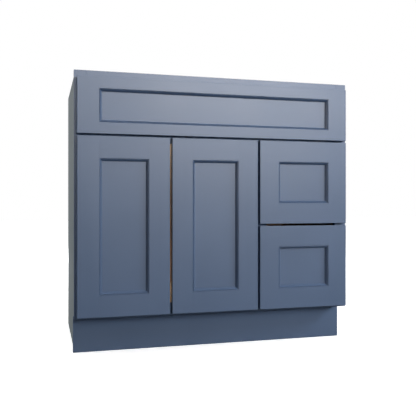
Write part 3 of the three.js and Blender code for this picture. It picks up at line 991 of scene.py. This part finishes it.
class VANITY_OT_bumpers(bpy.types.Operator):
    """Bumpers on the backs of the doors and drawer fronts, and spacers behind the false front"""

    bl_idname = "vanity.bumpers"
    bl_label = "Bumpers"

    def execute(self, context):
        inset, rail_inset, door_top_inset = 0.012, 0.007, 0.009
        template = bumper_template(0.0045, 0.00185)
        soft = finish("bumper", bumper_material)
        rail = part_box("frame_rail_middle")[0].z + rail_inset
        for node in ("door_left_frame", "door_right_frame", "drawer_lower_front_frame",
                     "drawer_upper_front_frame", "apron_frame"):
            low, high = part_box(node)
            body = body_of(node)
            columns = [low.x + inset, high.x - inset]
            rows = [low.z + inset, high.z - inset]
            if node.startswith("door"):
                columns = columns[1:] if "left" in node else columns[:1]
                rows = [low.z + inset, max(rail, high.z - door_top_inset)]
            if node.startswith("apron"):
                rows = [low.z + rail_inset, high.z - rail_inset]
            places = [(Vector((x, high.y, z)), BEHIND) for x in columns for z in rows]
            name = f"{body}_bumpers" if body != "carcass" else "false_front_spacers"
            many(name, template, places, body, "nickel_steel", soft)
        return {"FINISHED"}


def ball_row(bm, radius, at, count, pitch):
    for i in range(count):
        place = Matrix.Translation(at + BEHIND * (pitch * i))
        bmesh.ops.create_icosphere(bm, subdivisions=2, radius=radius, matrix=place)


def cage_strip(bm, at, length, tall, thin):
    """A thin strip along +Y from a point."""
    u, v = thin / 2, tall / 2
    ring = [(-u, -v), (u, -v), (u, v), (-u, v)]
    closed_loft(bm, [[at + Vector((x, y, z)) for x, z in ring] for y in (0.0, length)])


class VANITY_OT_ball_cages(bpy.types.Operator):
    """Rows of balls in their cages, between the members of the slides"""

    bl_idname = "vanity.ball_cages"
    bl_label = "Ball cages"

    def execute(self, context):
        ball = finish("ball", metal_material, "ball_steel", (0.7, 0.71, 0.73), 0.16, "Y")
        count, pitch, ball_radius = 10, 0.0095, 0.00195
        cage_tall, cage_thin, cage_margin, cage_edge = 0.0026, 0.0007, 0.005, 0.0001
        # in from the outer member's web, back from its front end, up or down from its middle
        rows = ((0.0063, 0.23, 0.0195), (0.0083, 0.118, 0.0141))
        for level in LEVELS:
            balls, strips = bmesh.new(), bmesh.new()
            for side, sign in zip(SIDES, (1, -1)):
                low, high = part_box(f"slide_outer_{level}_{side}")
                wall = low.x if sign > 0 else high.x
                middle_z = (low.z + high.z) / 2
                for reach, start, drop in rows:
                    for up in (-1, 1):
                        at = Vector((wall + sign * reach, low.y + start, middle_z + up * drop))
                        ball_row(balls, ball_radius, at, count, pitch)
                        cage_strip(strips, at - BEHIND * cage_margin,
                                   pitch * (count - 1) + 2 * cage_margin, cage_tall, cage_thin)
            body = f"slide_middles_{level}"
            add_piece(f"slide_balls_{level}", to_mesh(f"slide_balls_{level}", balls), body, "zinc_steel",
                      [ball])
            piece = add_piece(f"slide_cages_{level}", to_mesh(f"slide_cages_{level}", strips), body,
                              "zinc_steel", [zinc()])
            ease(piece, cage_edge, 2)
        return {"FINISHED"}


WARM_SHEEN = (1.0, 0.94, 0.86)
LOW_SKY, HIGH_SKY = 0.5, 2.4
CAMERA_PLACE = (-0.5493, -2.1117, 0.4709)
CAMERA_TURN = -15.52
CAMERA_SHIFT = -0.0128
FLOOR_REACH = 14.0
# name, what it lights, degrees round from the front, degrees up, size, distance, power
LIGHTS = (
    ("left_light", "matt", -112, 4, 1.5, 4.5, 140),
    ("right_light", "matt", 28, 12, 1.2, 4.5, 86),
    ("side_light", "matt", 60, 25, 1.2, 4.5, 94),
    ("front_light", "matt", -4, 10, 1.0, 4.5, 14),
    ("sheen_front", "gloss", 0, 30, 2.5, 4.0, 124),
    ("sheen_right", "gloss", 20, 20, 1.6, 4.0, 112),
    ("sheen_side", "gloss", 45, 20, 2.0, 4.0, 36),
    ("sheen_left", "gloss", -80, 25, 2.5, 4.0, 110),
    ("sheen_far_side", "gloss", 100, 25, 2.5, 4.0, 110),
    ("top_light", "matt", 0, 84, 2.0, 3.5, 40),
    ("back_light", "matt", 180, 25, 2.5, 4.0, 130),
)


class VANITY_OT_stage(bpy.types.Operator):
    """Floor, backdrop, lights and camera"""

    bl_idname = "vanity.stage"
    bl_label = "Stage"

    def execute(self, context):
        studio = context.scene.vanity_studio
        self.floor()
        self.world(context, studio)
        for name, kind, azimuth, elevation, size, distance, power in LIGHTS:
            share = studio.sheen if kind == "gloss" else studio.key
            lamp = self.area(context, name, azimuth, elevation, size, distance, power * share)
            lamp.visible_camera = False
            lamp.visible_glossy = kind != "matt"
            lamp.visible_diffuse = kind != "gloss"
            if kind == "gloss":
                lamp.data.color = WARM_SHEEN
        self.camera(context, studio)
        context.scene.view_settings.view_transform = "Standard"
        return {"FINISHED"}

    def floor(self):
        bm = bmesh.new()
        bmesh.ops.create_grid(bm, x_segments=8, y_segments=8, size=FLOOR_REACH)
        floor = loose_piece("floor", to_mesh("floor", bm), [floor_material()])

    def world(self, context, studio):
        world = bpy.data.worlds.new("studio")
        context.scene.world = world
        world.use_nodes = True
        tree = Nodes(world.node_tree)
        direction = tree.node("ShaderNodeTexCoord", {}, {}, "Generated")
        height = tree.node("ShaderNodeSeparateXYZ", {}, {0: direction}, "Z")
        rising = tree.node("ShaderNodeMapRange", {}, {
            "Value": height, "From Min": -0.1, "From Max": 0.9,
            "To Min": studio.sky * LOW_SKY, "To Max": studio.sky * HIGH_SKY})
        ambient, sky, backdrop = [
            tree.node("ShaderNodeBackground", {}, {"Color": BACKGROUND_WHITE, "Strength": strength})
            for strength in (studio.ambient, rising, 1.0)]
        lit = ambient
        for ray, other in (("Is Glossy Ray", sky), ("Is Camera Ray", backdrop)):
            seen = tree.node("ShaderNodeLightPath", {}, {}, ray)
            lit = tree.node("ShaderNodeMixShader", {}, {0: seen, 1: lit, 2: other})
        tree.node("ShaderNodeOutputWorld", {}, {"Surface": lit})

    def area(self, context, name, azimuth, elevation, size, distance, power):
        light = bpy.data.lights.new(name, "AREA")
        light.shape = "DISK"
        light.size = size
        light.energy = power
        lamp = bpy.data.objects.new(name, light)
        turn, rise = math.radians(azimuth), math.radians(elevation)
        away = Vector((math.sin(turn) * math.cos(rise), -math.cos(turn) * math.cos(rise), math.sin(rise)))
        low, high = CAD_BOX
        target = (low + high) / 2
        lamp.location = target + away * distance
        lamp.rotation_euler = (-away).to_track_quat("-Z", "Y").to_euler()
        context.scene.collection.objects.link(lamp)
        return lamp

    def camera(self, context, studio):
        camera = bpy.data.cameras.new("camera")
        camera.lens = studio.lens
        camera.sensor_width = 36.0
        camera.shift_y = CAMERA_SHIFT
        view = bpy.data.objects.new("camera", camera)
        view.location = CAMERA_PLACE
        view.rotation_euler = (math.radians(90), 0, math.radians(CAMERA_TURN))
        context.scene.collection.objects.link(view)
        context.scene.camera = view


class VANITY_PT_panel(bpy.types.Panel):
    """Lists the pieces of the vanity cabinet"""

    bl_label = "Vanity cabinet"
    bl_space_type = "VIEW_3D"
    bl_region_type = "UI"
    bl_category = "Vanity"

    def draw(self, context):
        for operator in OPERATORS:
            self.layout.operator(operator.bl_idname)
        for name in GROUPS:
            group = getattr(context.scene, name)
            box = self.layout.box()
            for setting in group.__annotations__:
                box.prop(group, setting)


GROUPS = {"vanity_sizes": VanitySizes, "vanity_finishes": VanityFinishes, "vanity_studio": VanityStudio}
OPERATORS = (VANITY_OT_fronts, VANITY_OT_face_frame, VANITY_OT_carcass, VANITY_OT_drawer_boxes,
             VANITY_OT_hinges, VANITY_OT_slides, VANITY_OT_ball_cages, VANITY_OT_fasteners,
             VANITY_OT_bumpers, VANITY_OT_stage)


def register():
    for group in (*GROUPS.values(), *OPERATORS, VANITY_PT_panel):
        bpy.utils.register_class(group)
    for name, group in GROUPS.items():
        setattr(bpy.types.Scene, name, PointerProperty(type=group))


def unregister():
    for name in GROUPS:
        delattr(bpy.types.Scene, name)
    for group in (VANITY_PT_panel, *reversed(OPERATORS), *GROUPS.values()):
        bpy.utils.unregister_class(group)


def main():
    register()
    for operator in OPERATORS:
        module, name = operator.bl_idname.split(".")
        getattr(getattr(bpy.ops, module), name)()


if __name__ == "__main__":
    main()
